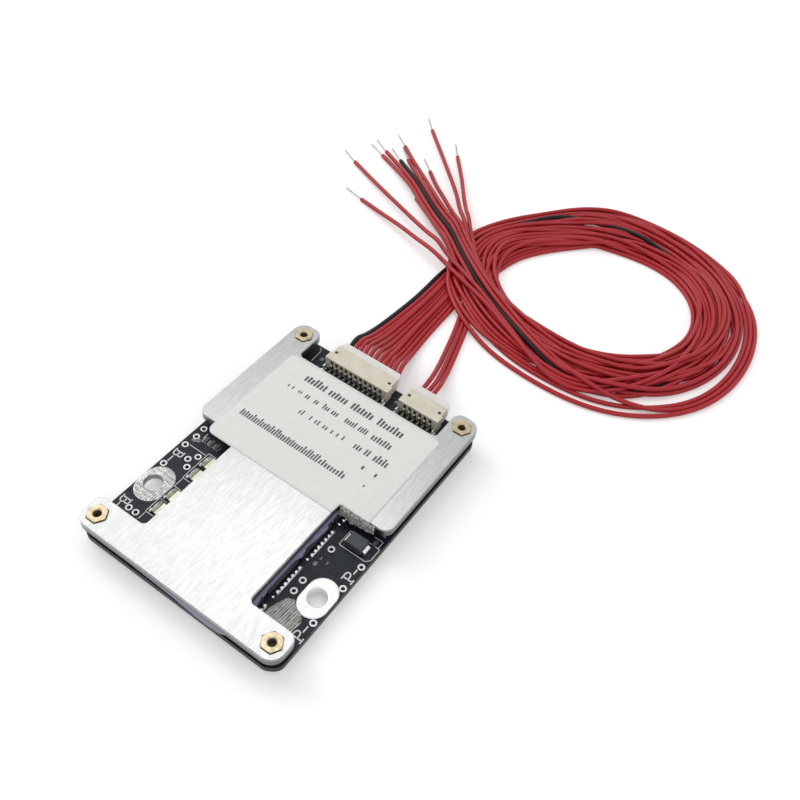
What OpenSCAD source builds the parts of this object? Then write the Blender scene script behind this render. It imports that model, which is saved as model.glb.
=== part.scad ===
// Battery management board: a circuit board under a notched aluminium heat plate,
// with two ribbon plugs whose loose wires are wound into a coil behind it.
// Origin: centre of the board's footprint, on the surface it lies on. +X runs from the
// battery terminal to the pack terminal, +Y towards the connectors, +Z up.

/* [Circuit board] */
// Board width, across the two terminals
board_w = 53.6; // [40:0.2:80]
// Board length, towards the connectors
board_l = 75.6; // [50:0.2:110]
// Board thickness
board_t = 1.6; // [0.8:0.2:2.4]
// Radius of the board's corners
board_r = 3; // [0.5:0.5:6]
// Room under the board, taken up by the screw heads
foot_h = 1.5; // [1:0.1:4]

/* [Heat plate] */
// Plate width
plate_w = 55; // [40:0.5:80]
// Plate length
plate_l = 76.4; // [50:0.2:110]
// Plate thickness
plate_t = 2; // [1:0.5:4]
// Radius of the plate's outer corners
plate_r = 3.2; // [0.5:0.1:6]
// Depth of each terminal notch from the plate's side
side_notch_d = 13; // [6:0.5:20]
// Near end of the terminal notches
side_notch_y0 = -30.4; // [-35:0.2:-10]
// Far end of the terminal notches
side_notch_y1 = -0.5; // [-10:0.1:10]
// Width of the notch round the connectors
plug_notch_w = 41; // [30:0.5:50]
// Depth of the notch round the connectors
plug_notch_d = 9.8; // [6:0.2:16]

/* [Standoffs and terminals] */
// Standoff spacing across the board
hex_dx = 48; // [30:0.5:70]
// Standoff spacing along the board
hex_dy = 69; // [40:0.5:100]
// Board's top face to the standoffs' top
standoff_h = 5; // [4:0.1:10]
// Hex size across the flats
hex_af = 4.15; // [3:0.05:6]
// Height of the hex above the plate
hex_proud = 0.4; // [0:0.1:2]
// Tapped bore diameter
tap_d = 1.7; // [1.2:0.05:3]
// Terminal hole diameter
terminal_d = 4.6; // [3:0.1:6]
// Terminal holes, distance from the board's middle
terminal_x = 23.4; // [15:0.1:30]
// Terminal holes, place along the board
terminal_y = -19.5; // [-30:0.5:30]

/* [Connectors] */
// Contact spacing
pitch = 1.5; // [1:0.05:2.5]
// Contacts in the large connector
large_n = 11; // [2:1:16]
// Contacts in the small connector
small_n = 6; // [2:1:16]
// Middle of the large connector
large_x = -6.2; // [-15:0.1:15]
// Middle of the small connector
small_x = 12.5; // [-15:0.1:20]
// Height of the headers above the board
header_h = 3.7; // [3:0.1:6]

/* [Power parts] */
// Transistors in each of the two columns
fet_rows = 4; // [1:1:5]
// Spacing of the transistors along the board
fet_step = 11.3; // [10.5:0.1:14]
// Shunt resistors
shunt_y = [-8, -12.3, -19.45, -23.8];

/* [Wires] */
// Wire diameter over the insulation
wire_d = 1.3; // [0.8:0.1:2]
// Wires from the small connector
small_wires = 3; // [1:1:6]
// Middle of the coil
coil_c = [27, 105.5];
// Outer half width and half length of the coil
coil_out = [44.5, 39.5];
// Width of the bundle in the coil
bundle_w = 16; // [8:1:24]
// Height of the bundle in the coil
bundle_h = 6; // [3:0.5:10]

/* [Hidden] */
$fn = 40;
eps = 0.01;
board_top = foot_h + board_t;
hex_top = board_top + standoff_h;
plate_top = hex_top - hex_proud;
plate_bottom = plate_top - plate_t;
plug_notch_y = plate_l / 2 - plug_notch_d;
header_back = 32.9;
header_front = 38.1;
header_step_y = 35.1;
plug_back = 40.3;
contact_z = board_top + 1.85;
fet_size = [10.4, 9.9, 2.3];
fet_y0 = -31.8;
discharge_x = 10.1;
charge_x = -5.4;
shunt_size = [6.3, 3.2, 0.7];
shunt_x = -15.2;
pad_t = 0.12;
wire_r = wire_d / 2;
large_wires = large_n;
wires = large_wires + small_wires;
black_wire = 0;
black_tail = 4;

// Stations of the flat bundle behind each plug: [y, middle x, spacing, height of the low wires]
large_lead = [[40.34, -6.2, 1.5, 4.95], [41.5, -6.2, 1.5, 4.95], [44, -7, 1.5, 4.8], [47, -8, 1.45, 4.1], [51, -8.5, 1.35, 2.9],
    [56, -8.7, 1.15, 1.6], [61, -8.7, 1, 0.85], [66, -8.5, 0.9, 0.65], [71, -8.2, 0.85, 0.65],
    [77, -8, 0.85, 0.65]];
small_lead = [[40.34, 10.25, 1.5, 4.95], [41.5, 10.25, 1.5, 4.95], [44, 9.9, 1.5, 4.8], [47, 9, 1.45, 4.1],
    [51, 7.8, 1.4, 2.9], [56, 6.4, 1.37, 1.6], [61, 5, 1.37, 0.85], [66, 3.8, 1.37, 0.65], [72, 2.6, 1.37, 0.65]];

// Loose ends, each from the edge of the coil to where its insulation stops
tails = [
    [[-15.5, 86.3, 4.3], [-23.4, 88.9, 3.6], [-33.7, 92.1, 2.5], [-43, 94.6, 1.4], [-51.7, 96.8, 0.65]],
    [[-17, 90.2, 4.2], [-28.1, 95, 3.4], [-41, 100.5, 2.3], [-53, 105.8, 1.3], [-64.8, 111, 0.65]],
    [[-17.5, 92.9, 4.1], [-30, 101.5, 3.1], [-43, 110.9, 2.1], [-52, 116, 1.2], [-60.3, 119.9, 0.65]],
    [[-17.5, 94.6, 4.1], [-30, 103.2, 3.1], [-43, 112.6, 2.1], [-52, 118, 1.2], [-60.6, 122.5, 0.65]],
    [[-17.5, 96.3, 4.1], [-30, 104.9, 3.1], [-43, 114.3, 1.9], [-49, 118.3, 1.2], [-54.2, 121.5, 0.65]],
    [[-17.5, 98, 4.1], [-30, 106.6, 3.1], [-43, 116, 1.9], [-48, 119.8, 1.2], [-52.6, 123.6, 0.65]],
    [[-17.5, 99.7, 4.1], [-30, 108.4, 3.1], [-43, 117.9, 2], [-51, 123.8, 1.2], [-57.6, 129, 0.65]],
    [[-17.6, 93.75, 2.7], [-24, 98.2, 2.2], [-30, 102.4, 1.6], [-35, 105.8, 1], [-39, 108.4, 0.65]],
    [[-17.6, 95.45, 2.7], [-24, 99.9, 2.2], [-30, 104.1, 1.6], [-34.5, 107.2, 1], [-38.5, 109.8, 0.65]],
    [[-17.6, 97.15, 2.7], [-24, 101.6, 2.2], [-30, 105.8, 1.6], [-34, 108.6, 1], [-38, 111.4, 0.65]],
    [[-17.7, 98.85, 2.7], [-24, 103.3, 2.2], [-30, 107.6, 1.6], [-34, 110.6, 1], [-38, 113.6, 0.65]],
    [[-17.7, 101.5, 4], [-25, 107.3, 3.1], [-32.5, 113.3, 2.1], [-38, 117.8, 1.3], [-43.6, 123, 0.65]],
    [[-17.8, 103.3, 3.9], [-24, 109.8, 3.3], [-30.4, 117.2, 2.8], [-41.1, 128, 2], [-56.1, 143, 0.65]],
    [[-17.8, 105.3, 3.7], [-23, 111.7, 3], [-28, 118.3, 2.3], [-33, 125.3, 1.5], [-41.4, 136, 0.65]]];
strip_l = 7;

aluminium = [0.84, 0.85, 0.84];
brass = [0.72, 0.62, 0.38];
solder_mask = [0.11, 0.13, 0.17];
tin = [0.78, 0.79, 0.78];
epoxy = [0.09, 0.1, 0.11];
cream = [0.85, 0.83, 0.74];
wire_red = [0.62, 0.12, 0.15];
wire_black = [0.06, 0.06, 0.07];

// ---- general shapes ----

module slab(size, r, z, h) {
    translate([0, 0, z])
        linear_extrude(h)
            offset(r) square([size[0] - 2 * r, size[1] - 2 * r], center = true);
}

module stadium(w, l) {
    hull()
        for (s = [-1, 1])
            translate([0, s * (l - w) / 2]) circle(d = w);
}

module at_standoffs() {
    for (sx = [-1, 1], sy = [-1, 1])
        translate([sx * hex_dx / 2, sy * hex_dy / 2, 0]) children();
}

// A smooth curve through hand-chosen points, with n steps from each to the next
function spline(p, n) = let (k = len(p) - 1)
    [for (s = [0 : n * k])
        let (i = min(floor(s / n), k - 1), t = s / n - i,
             a = p[max(i - 1, 0)], b = p[i], c = p[i + 1], d = p[min(i + 2, k)])
        b + (c - a) / 2 * t + (a - 2.5 * b + 2 * c - d / 2) * t * t
            + (-a / 2 + 1.5 * b - 1.5 * c + d / 2) * t * t * t];

function unit(v) = v / norm(v);

// Ring of a swept tube: a regular polygon square to the path at its point i
function tube_ring(path, i, r, sides) =
    let (k = len(path) - 1,
         t = unit(path[min(i + 1, k)] - path[max(i - 1, 0)]),
         u = unit(cross(t, [0, 0, 1])), v = cross(u, t))
    [for (j = [0 : sides - 1])
        path[i] + r * (cos(360 * j / sides) * u + sin(360 * j / sides) * v)];

// One closed solid swept along the path
module tube(path, r, sides = 8) {
    k = len(path) - 1;
    points = [for (i = [0 : k]) each tube_ring(path, i, r, sides)];
    walls = [for (i = [0 : k - 1], j = [0 : sides - 1])
        [i * sides + j, i * sides + (j + 1) % sides,
         (i + 1) * sides + (j + 1) % sides, (i + 1) * sides + j]];
    near = [for (j = [0 : sides - 1]) sides - 1 - j];
    far = [for (j = [0 : sides - 1]) k * sides + j];
    polyhedron(points, concat(walls, [near, far]), convexity = 6);
}

// ---- circuit board ----

// Plated holes: where the rings are, on both sides of the board
ring_places = [[-25.4, -1.1], [-25.4, -4], [-25.6, -7.2], [-21, -8.1], [-22.4, -9.9], [-21, -11.7],
    [-25.6, -14], [-23.1, -27.5], [-21.1, -27.5], [18.2, -8.5], [18.2, -18.1], [18.2, -21.2],
    [25.6, -8.1], [25.6, -14.4], [25.6, -24.6]];
ring_od = 2;
ring_id = 1;

module circuit_board() {
    color(solder_mask)
        difference() {
            slab([board_w, board_l], board_r, foot_h, board_t);
            at_standoffs() translate([0, 0, foot_h - 1]) cylinder(d = 2.2, h = board_t + 2);
            for (s = [-1, 1])
                translate([s * terminal_x, terminal_y, foot_h - 1]) cylinder(d = terminal_d, h = board_t + 2);
            for (p = ring_places)
                translate([p[0], p[1], foot_h - 1]) cylinder(d = ring_id, h = board_t + 2, $fn = 16);
        }
}

module plated_rings() {
    color(tin)
        for (p = ring_places)
            translate([p[0], p[1], board_top])
                difference() {
                    cylinder(d = ring_od, h = 0.06, $fn = 20);
                    translate([0, 0, -1]) cylinder(d = ring_id, h = 2, $fn = 16);
                }
}

// A tinned oval round a terminal hole; the pack side's is cut straight near the board's edge
module terminal_pad(x, cut) {
    color(tin)
        translate([x, terminal_y, board_top])
            linear_extrude(pad_t)
                difference() {
                    intersection() {
                        stadium(7, 9.9);
                        translate([-10, -10]) square([10 + cut, 20]);
                    }
                    circle(d = terminal_d + 0.4);
                    for (p = ring_places)
                        translate([p[0] - x, p[1] - terminal_y]) circle(d = ring_od, $fn = 20);
                }
}

module battery_pad() {
    terminal_pad(-terminal_x + 0.2, 10);
}

module pack_pad() {
    terminal_pad(terminal_x, 3);
}

// Solder runs that thicken the copper beside the pack terminal
ridge_step = 0.78;
ridge_ends = [-22.6, -23, -23.4, -22.4, -24, -24.8, -25.4, -25.8];
ridge_start = -32;

module solder_ridges() {
    color(tin)
        for (i = [0 : len(ridge_ends) - 1])
            translate([17.9 + i * ridge_step, ridge_ends[i], board_top])
                rotate([90, 0, 0])
                    linear_extrude(ridge_ends[i] - ridge_start)
                        intersection() {
                            circle(d = 0.52, $fn = 12);
                            translate([-1, 0]) square([2, 1]);
                        }
}

// ---- heat plate and its hardware ----

module plate_outline() {
    $fn = 24;
    difference() {
        offset(-1.2) offset(1.2)
            offset(2.4) offset(-2.4)
                difference() {
                    offset(plate_r) square([plate_w - 2 * plate_r, plate_l - 2 * plate_r], center = true);
                    for (s = [-1, 1])
                        translate([s * (plate_w / 2 - side_notch_d / 2 + 5), (side_notch_y0 + side_notch_y1) / 2])
                            square([side_notch_d + 10, side_notch_y1 - side_notch_y0], center = true);
                    translate([0, plate_l / 2 + 5 - plug_notch_d / 2])
                        square([plug_notch_w, plug_notch_d + 10], center = true);
                }
        at_standoffs() circle(d = hex_af / cos(30), $fn = 6);
    }
}

// Stamped plate: its top edge is eased all round
module heat_plate() {
    ease = 0.25;
    color(aluminium) {
        translate([0, 0, plate_bottom])
            linear_extrude(plate_t - ease) plate_outline();
        translate([0, 0, plate_top - ease])
            linear_extrude(ease)
                difference() {
                    offset(delta = -ease / 2) plate_outline();
                    at_standoffs() circle(d = hex_af / cos(30) + ease, $fn = 6);
                }
    }
}

// Pressed-in standoff: hex head flush in the plate, round shank down to the board,
// one blind tapped hole from above and a slimmer one from below for the board's screw
low_tap_d = 1.6;
module hex_standoffs() {
    head_h = plate_t + hex_proud;
    color(brass)
        at_standoffs()
            difference() {
                union() {
                    translate([0, 0, board_top]) cylinder(d = 3.2, h = standoff_h - head_h);
                    translate([0, 0, plate_bottom])
                        intersection() {
                            cylinder(d = hex_af / cos(30), h = head_h, $fn = 6);
                            cylinder(r1 = hex_af / 2 + head_h, r2 = hex_af / 2 + 0.1, h = head_h);
                        }
                }
                translate([0, 0, hex_top - 2.6]) cylinder(d = tap_d, h = 3);
                translate([0, 0, hex_top - 0.25]) cylinder(d1 = tap_d, d2 = tap_d + 0.5, h = 0.25 + eps);
                translate([0, 0, board_top - eps]) cylinder(d = low_tap_d, h = 2);
            }
}

// Pan-head screws from below; their heads are what the board stands on
module board_screws() {
    color(tin)
        at_standoffs()
            difference() {
                union() {
                    translate([0, 0, 0.35]) cylinder(d = 3.8, h = foot_h - 0.35);
                    cylinder(d1 = 3, d2 = 3.8, h = 0.35);
                    cylinder(d = low_tap_d - 0.1, h = board_top + 1.6);
                }
                for (a = [0, 90])
                    rotate(a) translate([0, 0, 0.3]) cube([1.9, 0.45, 0.9], center = true);
            }
}

// Paper label: flat on the plate, over the battery notch, and folded down at the pack notch
label_t = 0.12;
label_x = [-22, 22.6];
label_y = [-3.6, 28.2];
fold_y = side_notch_y1 - 0.1;

module label() {
    r = 2.2;
    color([0.89, 0.9, 0.88]) {
        translate([0, 0, plate_top])
            linear_extrude(label_t)
                difference() {
                    hull()
                        for (x = [label_x[0] + r, label_x[1] - r], y = [label_y[0] + r, label_y[1] - r])
                            translate([x, y]) circle(r);
                    translate([plate_w / 2 - side_notch_d, label_y[0] - 1])
                        square([side_notch_d, fold_y - label_y[0] + 1]);
                }
        // the folded flap, crumpled and leaning off the plate's edge
        flap = [[0, 0], [-0.3, -1.1], [-0.15, -2], [-0.6, -2.9], [-0.75, -2.9], [-0.3, -2],
            [-0.45, -1.1], [-0.15, 0.12], [0, 0.12]];
        translate([plate_w / 2 - side_notch_d + 1.2, fold_y, plate_top])
            rotate([90, 0, 90]) linear_extrude(8.8) polygon(flap);
    }
}

// ---- power transistors ----

module fet_places(x) {
    for (i = [0 : fet_rows - 1])
        translate([x, fet_y0 + i * fet_step, board_top]) children();
}

// Flat moulded body with drafted sides
module fet_body() {
    color(epoxy)
        hull() {
            translate([0, 0, 1.1])
                cube([fet_size[0], fet_size[1], 1], center = true);
            translate([0, 0, fet_size[2] / 2])
                cube([fet_size[0] - 0.5, fet_size[1] - 0.5, fet_size[2]], center = true);
        }
}

// Eight formed leads on one side and the wide tab on the other
module fet_leads() {
    lead = [[0, 0.55], [0.1, 0.55], [0.5, 0], [1.4, 0], [1.4, 0.3], [0.65, 0.3], [0.25, 0.85], [0, 0.85]];
    color(tin) {
        for (i = [0 : 7])
            translate([fet_size[0] / 2, (i - 3.5) * 1.2 + 0.35, 0])
                rotate([90, 0, 0]) linear_extrude(0.7) polygon(lead);
        translate([-fet_size[0] / 2 - 0.9, -4.1, 0]) cube([0.9, 8.2, 0.6]);
    }
}

module charge_mosfets() {
    fet_places(charge_x) mirror([1, 0, 0]) fet_body();
}

module discharge_mosfets() {
    fet_places(discharge_x) fet_body();
}

module mosfet_leads() {
    fet_places(discharge_x) fet_leads();
    fet_places(charge_x) mirror([1, 0, 0]) fet_leads();
}

// Soft silicone pad on the transistors, squeezed out and sagging at its edges
pad_x = [-11, 15];
pad_y = [-37.5, 7.4];
fet_top = board_top + fet_size[2];

module thermal_pad() {
    front = [[0, 0], [0, -1.2], [0.35, -1.5], [0.75, -1.2], [0.75, 0]];
    color([0.5, 0.51, 0.63]) {
        translate([pad_x[0], pad_y[0], fet_top])
            cube([pad_x[1] - pad_x[0], pad_y[1] - pad_y[0], plate_bottom - fet_top]);
        translate([1, pad_y[0], fet_top + eps])
            rotate([90, 0, 90]) linear_extrude(pad_x[1] - 1.6) polygon(front);
        // the pad's side bulges between one transistor and the next
        for (i = [0 : 2])
            translate([pad_x[1] - 0.6, fet_y0 + (i + 0.5) * fet_step, fet_top + eps])
                rotate([90, 0, 90]) linear_extrude(0.6) polygon([[-0.6, 0], [0, -1.4], [0.6, 0]]);
    }
}

// ---- shunts, diode and small parts ----

cap_l = 0.9;

module shunt_resistors() {
    color([0.35, 0.33, 0.27])
        for (y = shunt_y)
            translate([shunt_x - shunt_size[0] / 2 + cap_l, y - shunt_size[1] / 2, board_top])
                cube([shunt_size[0] - 2 * cap_l, shunt_size[1], shunt_size[2] - 0.1]);
}

module shunt_caps() {
    color(tin)
        for (y = shunt_y, s = [-1, 1])
            translate([shunt_x + s * (shunt_size[0] - cap_l) / 2, y, board_top + shunt_size[2] / 2])
                cube([cap_l, shunt_size[1], shunt_size[2]], center = true);
}

diode_at = [22.3, -4.5];

module diode() {
    color(epoxy)
        translate([diode_at[0], diode_at[1], board_top])
            hull() {
                translate([0, 0, 1.15]) cube([4.6, 3.6, 0.4], center = true);
                translate([0, 0, 1.2]) cube([4.2, 3.2, 2.1], center = true);
            }
}

// Bent strips: out of each end at mid height, down and under the body
module diode_terminals() {
    strip = [[2.3, 0.95], [2.3, 1.35], [2.5, 1.35], [2.95, 0.9], [2.95, 0], [1.7, 0], [1.7, 0.15],
        [2.7, 0.15], [2.7, 0.75], [2.5, 0.95]];
    color(tin)
        translate([diode_at[0], diode_at[1], board_top])
            for (s = [0, 1])
                mirror([s, 0, 0]) rotate([90, 0, 0]) linear_extrude(2.1, center = true) polygon(strip);
}

// Small ceramic and resistor chips beside the notches and under the plate
chip_places = [[25.3, -1.6], [25.3, 2.2], [25.3, 4.2], [25.3, 7.4], [-22.4, -3.3], [-20.7, -3.3],
    [-19, -3.3], [-24, 12], [-24, 15], [22, 14], [22, 18], [-16, 12], [-12, 12], [-8, 12]];

module chip_parts() {
    color([0.45, 0.4, 0.34])
        for (p = chip_places)
            translate([p[0], p[1], board_top + 0.25]) cube([0.8, 1.6, 0.5], center = true);
}

// Quad flat controller below the board, in the room beside the screw heads
ic_at = [0, -6];
ic_w = 7;
ic_h = 1.2;

module controller_ic() {
    color(epoxy)
        translate([ic_at[0], ic_at[1], foot_h - ic_h])
            linear_extrude(ic_h - 0.1)
                offset(delta = 0.4, chamfer = true) square(ic_w - 0.8, center = true);
}

module controller_pins() {
    pin = [[0, -0.5], [0.35, -0.5], [0.5, -0.15], [1, -0.15], [1, 0], [0.4, 0], [0.25, -0.35], [0, -0.35]];
    color(tin)
        for (side = [0 : 3], i = [0 : 9])
            translate([ic_at[0], ic_at[1], foot_h])
                rotate(90 * side)
                    translate([ic_w / 2, (i - 4.5) * 0.6 + 0.13, 0])
                        rotate([90, 0, 0]) linear_extrude(0.26) polygon(pin);
}

// One bleed resistor and one switch for each cell, below the board behind the headers
cells = 13;
cell_step = 3.1;

module balance_resistors() {
    color([0.12, 0.12, 0.13])
        for (i = [0 : cells - 1])
            translate([(i - 6) * cell_step, 24, foot_h - 0.3]) cube([1.6, 3.2, 0.6], center = true);
}

module balance_transistors() {
    color(epoxy)
        for (i = [0 : cells - 1])
            translate([(i - 6) * cell_step, 18, foot_h - 0.5]) cube([1.4, 2.9, 1], center = true);
}

// ---- headers and plugs ----

function half_row(n) = (n - 1) * pitch / 2;

// Side-entry header: wide rear block, slimmer mouth, two windows in its roof
module header(x, n) {
    rear = half_row(n) + 2.07;
    front = half_row(n) + 1.62;
    mouth = half_row(n) + 1.1;
    wall = 0.55;
    color(cream)
        translate([x, 0, board_top])
            difference() {
                union() {
                    translate([-rear, header_back, 0]) cube([2 * rear, header_step_y - header_back, header_h]);
                    translate([-front, header_back, 0]) cube([2 * front, header_front - header_back, header_h]);
                }
                translate([-mouth, header_back + 1.2, wall])
                    cube([2 * mouth, header_front, header_h - 2 * wall]);
                for (s = [-1, 1])
                    translate([s * (half_row(n) + 0.7) - 0.33, 35.4, 1]) cube([0.66, 0.66, header_h]);
                for (i = [0 : n - 1])
                    translate([i * pitch - half_row(n) - 0.25, header_back - 1, 1.7]) cube([0.5, 5, 0.3]);
            }
}

module header_large() {
    header(large_x, large_n);
}

module header_small() {
    header(small_x, small_n);
}

// A square-bent contact: blade in the mouth, through the back wall, down and out to its pad
module header_row(x, n) {
    blade = [[31.7, 0], [32.6, 0], [32.75, 0.2], [32.75, 1.7], [36.9, 1.7], [36.9, 2], [32.7, 2],
        [32.45, 1.8], [32.45, 0.25], [31.7, 0.25]];
    for (i = [0 : n - 1])
        translate([x + i * pitch - half_row(n) - 0.25, 0, board_top])
            rotate([90, 0, 90]) linear_extrude(0.5) polygon(blade);
}

module header_pins() {
    color(tin) {
        header_row(large_x, large_n);
        header_row(small_x, small_n);
    }
}

// Solder tabs beside each row: a standing blade on a flat foot
module header_tabs() {
    color(tin)
        for (c = [[large_x, large_n], [small_x, small_n]], s = [-1, 1])
            translate([c[0] + s * (half_row(c[1]) + 1.7), 0, board_top]) {
                translate([-0.15, 31.5, 0]) cube([0.3, header_back - 31.5, 1.5]);
                translate([-0.5, 31.3, 0]) cube([1, 1.4, 0.2]);
            }
}

// Plug housing: a tongue in the header's mouth and a wider shoulder with chamfered ends
module plug(x, n) {
    tongue = half_row(n) + 1;
    shoulder = half_row(n) + 1.55;
    end = half_row(n) + 0.9;
    color([0.86, 0.85, 0.84])
        translate([x, 0, board_top])
            difference() {
                union() {
                    translate([-tongue, 34.3, 0.6]) cube([2 * tongue, 4, header_h - 1.2]);
                    translate([0, 0, 0.35])
                        linear_extrude(header_h - 0.7)
                            polygon([[-shoulder, header_front], [shoulder, header_front],
                                [shoulder, 38.7], [end, plug_back], [-end, plug_back], [-shoulder, 38.7]]);
                }
                for (i = [0 : n - 1])
                    translate([i * pitch - half_row(n), 0, contact_z - board_top])
                        translate([-0.5, 34, -0.45]) cube([1, 4.9, 0.9]);
                for (i = [0 : n - 1])
                    translate([i * pitch - half_row(n), 41, contact_z - board_top])
                        rotate([90, 0, 0]) cylinder(d = 0.9, h = 3, $fn = 16);
            }
}

module plug_large() {
    plug(large_x, large_n);
}

module plug_small() {
    plug(small_x, small_n);
}

wire_x = concat([for (i = [0 : large_wires - 1]) large_x + i * pitch - half_row(large_n)],
    [for (i = [0 : small_wires - 1]) small_x + i * pitch - half_row(small_n)]);

// A folded sheet contact round each pin, crimped on its wire at the rear
module crimp_contacts() {
    color(brass)
        for (x = wire_x)
            translate([x, 0, contact_z]) {
                difference() {
                    translate([-0.45, 34.5, -0.4]) cube([0.9, 2.6, 0.8]);
                    translate([-0.27, 34, -0.17]) cube([0.54, 2.9, 0.34]);
                }
                translate([0, 38.9, 0]) rotate([90, 0, 0]) cylinder(d = 0.7, h = 1.8, $fn = 12);
            }
}

// ---- wires ----

// Where a wire of a flat bundle lies at a station: low and high wires take turns once they crowd
function bundle_point(station, i, n) =
    let (lift = sqrt(max(0, pow(wire_d + 0.05, 2) - pow(station[2], 2))))
    [station[1] + (i - (n - 1) / 2) * station[2], station[0], station[3] + (i % 2) * lift];

// Outer edge of the coil on its near side, at a given x
function coil_near_y(x) =
    coil_c[1] - coil_out[1] * sqrt(max(0, 1 - pow((x - coil_c[0]) / coil_out[0], 2)));

function lead_route(i) =
    let (large = i < large_wires, row = large ? large_lead : small_lead,
         n = large ? large_wires : small_wires, j = large ? i : i - large_wires,
         p = [for (s = row) bundle_point(s, j, n)],
         last = p[len(p) - 1], edge = [last[0], coil_near_y(last[0]) - 0.5, last[2]])
    concat([for (q = p) if (q[1] < edge[1] - 3) q], [edge]);

// A route through the given points that never sinks into the surface the wires lie on
function grounded(p, n) = [for (q = spline(p, n)) [q[0], q[1], max(q[2], wire_r)]];

module lead(i) {
    color(i == black_wire ? wire_black : wire_red) tube(grounded(lead_route(i), 2), wire_r);
}

module tail(i) {
    color(i == black_tail ? wire_black : wire_red) tube(grounded(tails[i], 4), wire_r);
}

// Outer shape of the coil: a chamfered section swept round an oval
module wire_coil() {
    turns = 40;
    c = 0.8;
    w = bundle_w / 2;
    section = [[w, c], [w, bundle_h - c], [w - 3, bundle_h], [3 - w, bundle_h], [-w, bundle_h - c],
        [-w, c], [1 - w, 0], [w - 1, 0]];
    n = len(section);
    points = [for (k = [0 : turns - 1], q = section)
        [coil_c[0] + (coil_out[0] - w + q[0]) * cos(360 * k / turns),
         coil_c[1] + (coil_out[1] - w + q[0]) * sin(360 * k / turns), q[1]]];
    faces = [for (k = [0 : turns - 1], j = [0 : n - 1])
        [k * n + j, ((k + 1) % turns) * n + j,
         ((k + 1) % turns) * n + (j + 1) % n, k * n + (j + 1) % n]];
    color(wire_red) polyhedron(points, faces, convexity = 8);
}

// Tinned strands beyond each wire's insulation
module stripped_ends() {
    color(tin)
        for (t = tails) {
            k = len(t) - 1;
            d = unit([t[k][0] - t[k - 1][0], t[k][1] - t[k - 1][1], 0]);
            tube([t[k], t[k] + strip_l / 2 * d, t[k] + strip_l * d], 0.25, 6);
        }
}

// ---- the assembly ----

circuit_board();
heat_plate();
label();
hex_standoffs();
board_screws();
thermal_pad();
charge_mosfets();
discharge_mosfets();
mosfet_leads();
shunt_resistors();
shunt_caps();
battery_pad();
pack_pad();
solder_ridges();
plated_rings();
header_large();
header_small();
header_pins();
header_tabs();
plug_large();
plug_small();
crimp_contacts();
diode();
diode_terminals();
chip_parts();
controller_ic();
controller_pins();
balance_resistors();
balance_transistors();
wire_coil();
stripped_ends();
for (i = [0 : wires - 1]) {
    lead(i);
    tail(i);
}
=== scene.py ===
import math
import bmesh
import bpy
import numpy as np
from mathutils import Matrix, Vector


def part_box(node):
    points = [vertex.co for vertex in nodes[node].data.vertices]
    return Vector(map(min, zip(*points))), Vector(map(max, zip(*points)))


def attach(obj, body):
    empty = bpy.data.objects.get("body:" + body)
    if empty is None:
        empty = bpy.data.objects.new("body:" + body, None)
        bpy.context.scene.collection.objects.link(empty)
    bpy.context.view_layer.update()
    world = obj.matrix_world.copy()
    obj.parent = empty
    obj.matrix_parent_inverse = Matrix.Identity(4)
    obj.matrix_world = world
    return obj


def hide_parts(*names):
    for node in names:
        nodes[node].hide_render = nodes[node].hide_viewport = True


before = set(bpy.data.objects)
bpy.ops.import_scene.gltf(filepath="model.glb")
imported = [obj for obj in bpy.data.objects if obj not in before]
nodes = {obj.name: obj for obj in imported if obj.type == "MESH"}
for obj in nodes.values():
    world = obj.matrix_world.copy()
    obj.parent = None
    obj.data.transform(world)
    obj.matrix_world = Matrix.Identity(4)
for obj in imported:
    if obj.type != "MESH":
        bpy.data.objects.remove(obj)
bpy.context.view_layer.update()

mm = 0.001

# ---- viewpoint -------------------------------------------------------------
# One camera, above and to the right of the board's near edge, looking down at
# it at about 49 degrees.
azimuth, elevation, roll = math.radians(29.38), math.radians(49.136), math.radians(7.591)
back = Vector((math.sin(azimuth) * math.cos(elevation),
               -math.cos(azimuth) * math.cos(elevation),
               math.sin(elevation)))
right = Vector((0, 0, 1)).cross(back).normalized()
up = back.cross(right)
rolled_right = math.cos(roll) * right + math.sin(roll) * up
rolled_up = math.cos(roll) * up - math.sin(roll) * right
lens = bpy.data.cameras.new("viewpoint")
lens.lens, lens.sensor_width = 41.28, 36
lens.clip_start, lens.clip_end = 0.01, 20
camera = bpy.data.objects.new("viewpoint", lens)
turn = Matrix((rolled_right, rolled_up, back)).transposed().to_4x4()
camera.matrix_world = Matrix.Translation((0.078794, -0.094246, 0.175614)) @ turn
bpy.context.scene.collection.objects.link(camera)
bpy.context.scene.camera = camera
bpy.context.scene.view_settings.view_transform = "Standard"

# ---- floor and light -------------------------------------------------------
# A plain white table top in a white room. Two large soft lamps light it, and a
# third stands where the heat plate mirrors it to the camera.
def new_material(name):
    material = bpy.data.materials.new(name)
    material.use_nodes = True
    tree = material.node_tree
    shader = tree.nodes["Principled BSDF"]
    return material, tree, shader


def add_node(tree, kind, **settings):
    made = tree.nodes.new(kind)
    for key, value in settings.items():
        setattr(made, key, value)
    return made


# A value spread from one range to another
def ramp(tree, value, start, end, low=0, high=1):
    made = add_node(tree, "ShaderNodeMapRange")
    for key, number in (("From Min", start), ("From Max", end), ("To Min", low), ("To Max", high)):
        made.inputs[key].default_value = number
    tree.links.new(value, made.inputs["Value"])
    return made


# 1 for what the camera sees, straight or mirrored, and 0 for other light
def seen_by_camera(tree):
    ray = add_node(tree, "ShaderNodeLightPath")
    either = add_node(tree, "ShaderNodeMath", operation="MAXIMUM")
    tree.links.new(ray.outputs["Is Camera Ray"], either.inputs[0])
    tree.links.new(ray.outputs["Is Glossy Ray"], either.inputs[1])
    return either.outputs[0]


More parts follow.
